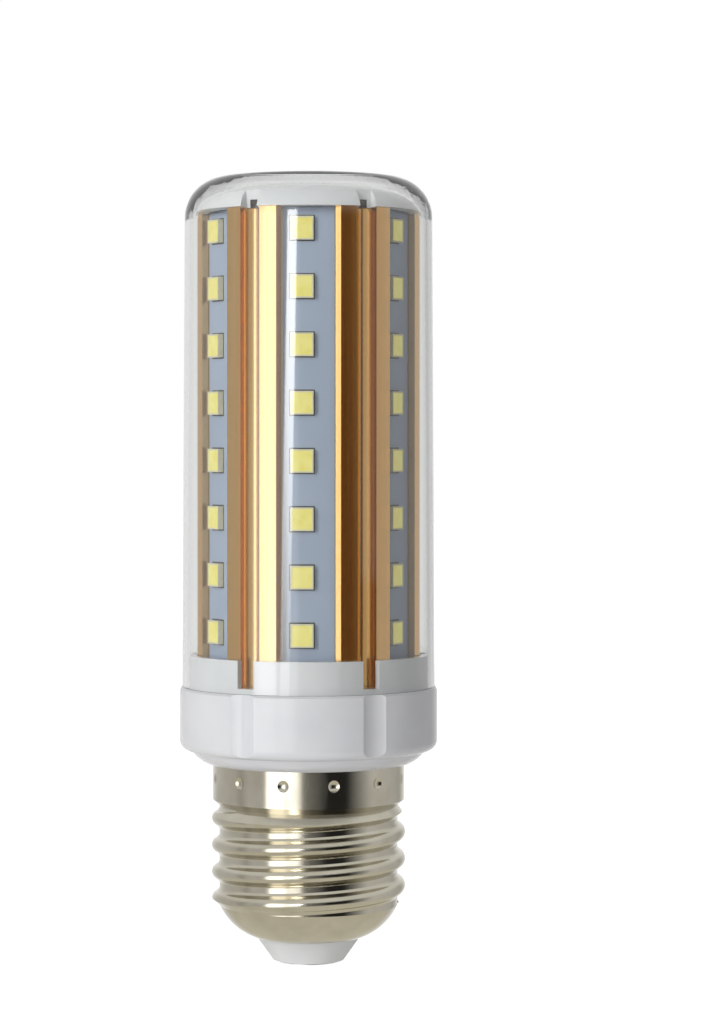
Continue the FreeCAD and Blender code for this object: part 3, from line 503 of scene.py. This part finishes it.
def near_package(distance, package_size):
    """One near a package of that size, and zero beyond the line of solder and painted shadow round it."""
    near = add_node(tree, "ShaderNodeMapRange", {"interpolation_type": "SMOOTHSTEP"}, Value=distance,
                    From_Min=package_size / 2 + SOLDER_AND_SHADE_LINE, From_Max=package_size / 2 + SOLDER_AND_SHADE_CORE)
    return near.outputs["Result"]


near_sideways = near_package(sideways, PACKAGE_WIDTH)
near_upwards = near_package(upwards, PACKAGE_HEIGHT)
solder_and_shade_here = mask_math("MULTIPLY", near_sideways, near_upwards)
shade = noise_in_mm(tree, 14, 14, 30)
weave = noise_in_mm(tree, 0.5, 0.5, 0.5, detail=1.0)
# The mask's blue-grey is white paint with painted shade and a painted cool reflection in it.
shaded_mask_tone = colour_ramp(tree, shade, "#b1bfd6", "#b9c6de")
# The dark line round each package is solder, and partly a painted shadow at its edge.
with_solder_and_shade = add_node(tree, "ShaderNodeMixRGB", Fac=solder_and_shade_here, Color1=shaded_mask_tone, Color2=linear("#3f3e38"))
press = add_node(tree, "ShaderNodeBump", Height=weave, Strength=0.1, Distance=0.02 * MM)
board_paint = add_node(tree, "ShaderNodeBsdfPrincipled", Base_Color=with_solder_and_shade.outputs["Color"],
                       Normal=press.outputs["Normal"], Roughness=0.42, IOR=1.5)
tree.links.new(board_paint.outputs[0], out.inputs["Surface"])
print("made", mask.name)

# %% [markdown]
# ## LED packages
# Each package is a small white reflector cup filled with silicone that holds a yellow phosphor.
# Lit from outside it looks pale lemon yellow, a little deeper where the silicone is thicker, and a
# faint emission, which is painted light, makes it give back a little more than the lamps alone would.

# %% LED frame and phosphor
led_cup, tree, out = new_material("white_led_moulding")
speck = noise_in_mm(tree, 0.6, 0.6, 0.6)
cup_tint = colour_ramp(tree, speck, "#ece6c4", "#f3edd2")
cup = add_node(tree, "ShaderNodeBsdfPrincipled", Base_Color=cup_tint, Roughness=0.5, IOR=1.5)
tree.links.new(cup.outputs[0], out.inputs["Surface"])

phosphor, tree, out = new_material("yellow_phosphor_silicone")
thick = noise_in_mm(tree, 1.6, 1.6, 1.6)
lemon = colour_ramp(tree, thick, "#e6da70", "#eee58e")
# The emission is painted light: a faint glow on the unlit phosphor.
silicone = add_node(tree, "ShaderNodeBsdfPrincipled", Base_Color=lemon, Roughness=0.3, IOR=1.41,
                    Emission_Color=linear("#ece486"), Emission_Strength=0.28,
                    Subsurface_Weight=0.1, Subsurface_Radius=(0.6 * MM, 0.5 * MM, 0.2 * MM),
                    Subsurface_Scale=1.0)
tree.links.new(silicone.outputs[0], out.inputs["Surface"])
print("made", led_cup.name, "and", phosphor.name)

# %% [markdown]
# ## Nickelled cap
# The screw shell is drawn and rolled from thin brass and plated with nickel, a metal a shade warmer
# and darker than chrome. Rolling leaves fine lines round the axis, so here the noise is squeezed
# along Z, and handling leaves faint cloudy marks in the gloss.

# %% Nickel plate
nickel, tree, out = new_material("nickel_plated_brass")
roll_lines = noise_in_mm(tree, 20, 20, 0.12, detail=3.0)
marks = noise_in_mm(tree, 4, 4, 4)
plate_tint = colour_ramp(tree, marks, "#cac4b2", "#d5cfbf")
rolled = add_node(tree, "ShaderNodeBump", Height=roll_lines, Strength=0.12, Distance=0.02 * MM)
polish = add_node(tree, "ShaderNodeMapRange", Value=marks, To_Min=0.1, To_Max=0.2)
plate = add_node(tree, "ShaderNodeBsdfPrincipled", Base_Color=plate_tint,
                 Normal=rolled.outputs["Normal"], Roughness=polish.outputs["Result"], Metallic=1.0)
tree.links.new(plate.outputs[0], out.inputs["Surface"])
print("made", nickel.name)

# %% [markdown]
# ## Foot of the cap
# The insulator under the shell is white with a dull gloss, and the contact in its middle is
# a disc of tinned brass, softly dulled by solder. Both get a slight change of tone.

# %% Insulator and contact
insulator, tree, out = new_material("white_insulating_plastic")
cloud = noise_in_mm(tree, 5, 5, 5)
cream = colour_ramp(tree, cloud, "#ebecec", "#f2f2f1")
glaze = add_node(tree, "ShaderNodeBsdfPrincipled", Base_Color=cream, Roughness=0.5, IOR=1.5)
tree.links.new(glaze.outputs[0], out.inputs["Surface"])

tinned, tree, out = new_material("tinned_brass")
wipe = noise_in_mm(tree, 0.8, 0.8, 0.4)
solder = colour_ramp(tree, wipe, "#a9a59b", "#c1beb6")
dull = add_node(tree, "ShaderNodeMapRange", Value=wipe, To_Min=0.25, To_Max=0.45)
tin = add_node(tree, "ShaderNodeBsdfPrincipled", Base_Color=solder,
               Roughness=dull.outputs["Result"], Metallic=1.0)
tree.links.new(tin.outputs[0], out.inputs["Surface"])
print("made", insulator.name, "and", tinned.name)

# %% [markdown]
# ## Driver parts
# The driver is sealed in the housing and the cap, so nobody sees it unless the lamp is opened.
# Its parts still get the finish of the real ones. They differ only in two colours, the size of the
# mottling between them and their shine, so one function makes them all from a short list.

# %% Materials inside the lamp
def inner_material(name, low, high, size, roughness, metallic=0.0):
    """A mottled material whose tone drifts between two hex colours over a size in millimetres."""
    material, graph, output = new_material(name)
    drift = noise_in_mm(graph, size, size, size)
    tone = colour_ramp(graph, drift, low, high)
    skin_bump = add_node(graph, "ShaderNodeBump", Height=drift, Strength=0.1, Distance=0.02 * MM)
    body = add_node(graph, "ShaderNodeBsdfPrincipled", Base_Color=tone,
                    Normal=skin_bump.outputs["Normal"], Roughness=roughness, Metallic=metallic)
    graph.links.new(body.outputs[0], output.inputs["Surface"])
    return material


inner_materials = {
    "driver_laminate": inner_material("glass_epoxy_laminate", "#8f8a4a", "#a39d58", 0.8, 0.35),
    "film_capacitor_case": inner_material("dipped_epoxy_case", "#8f3a22", "#a4472b", 1.5, 0.2),
    "chip_epoxy": inner_material("black_moulded_epoxy", "#1b1b1d", "#28282b", 0.3, 0.55),
    "resistor_lacquer": inner_material("blue_resistor_lacquer", "#4a6f86", "#5b8299", 0.8, 0.3),
    "can_sleeve": inner_material("shrunk_black_sleeve", "#14161f", "#1f2330", 2.0, 0.25),
    "choke_ferrite": inner_material("sintered_ferrite", "#2b2b2d", "#3a3a3d", 0.4, 0.6),
    "zinc_plated_steel": inner_material("zinc_plated_steel", "#a8a9ad", "#bcbdc2", 0.6, 0.3, 1.0),
    "red_wire_cover": inner_material("red_wire_insulation", "#a5201c", "#b52a24", 3.0, 0.4),
    "blue_wire_cover": inner_material("blue_wire_insulation", "#23459b", "#2c50a8", 3.0, 0.4),
    "black_wire_cover": inner_material("black_wire_insulation", "#161616", "#222222", 3.0, 0.4),
}
dark_link_board_finish = inner_material("dark_link_board_colour", "#2c2620", "#3a3229", 0.8, 0.5)
print("inner materials:", len(inner_materials))

# %% [markdown]
# ## Dressing the solids
# The imported record says which finish each solid has. Each solid already has a plain material in its
# first slot, so its finish is put there, and the solid itself isn't touched. The link board is given
# a dark brown finish in place of its own, so that small dark spots show in the notches of the top cap.

# %% Finishes on the imported solids
finishes = {
    "clear_polycarbonate": clear,
    "white_plastic": white_plastic,
    "gold_anodised_aluminium": gold,
    "white_solder_mask": mask,
    "led_frame": led_cup,
    "led_phosphor": phosphor,
    "nickel_plate": nickel,
    "white_insulator": insulator,
    "tin_lead_contact": tinned,
    **inner_materials,
}
slot_of = {part["node"]: part["material_slot"] for part in frame["record"]["subparts"]}
for node, solid in frame["nodes"].items():
    solid.material_slots[0].material = finishes[slot_of[node]]
# The link board is darkened so that the notches of the top cap show dark spots.
frame["nodes"]["link_board"].material_slots[0].material = dark_link_board_finish
print("dressed", len(frame["nodes"]), "solids")
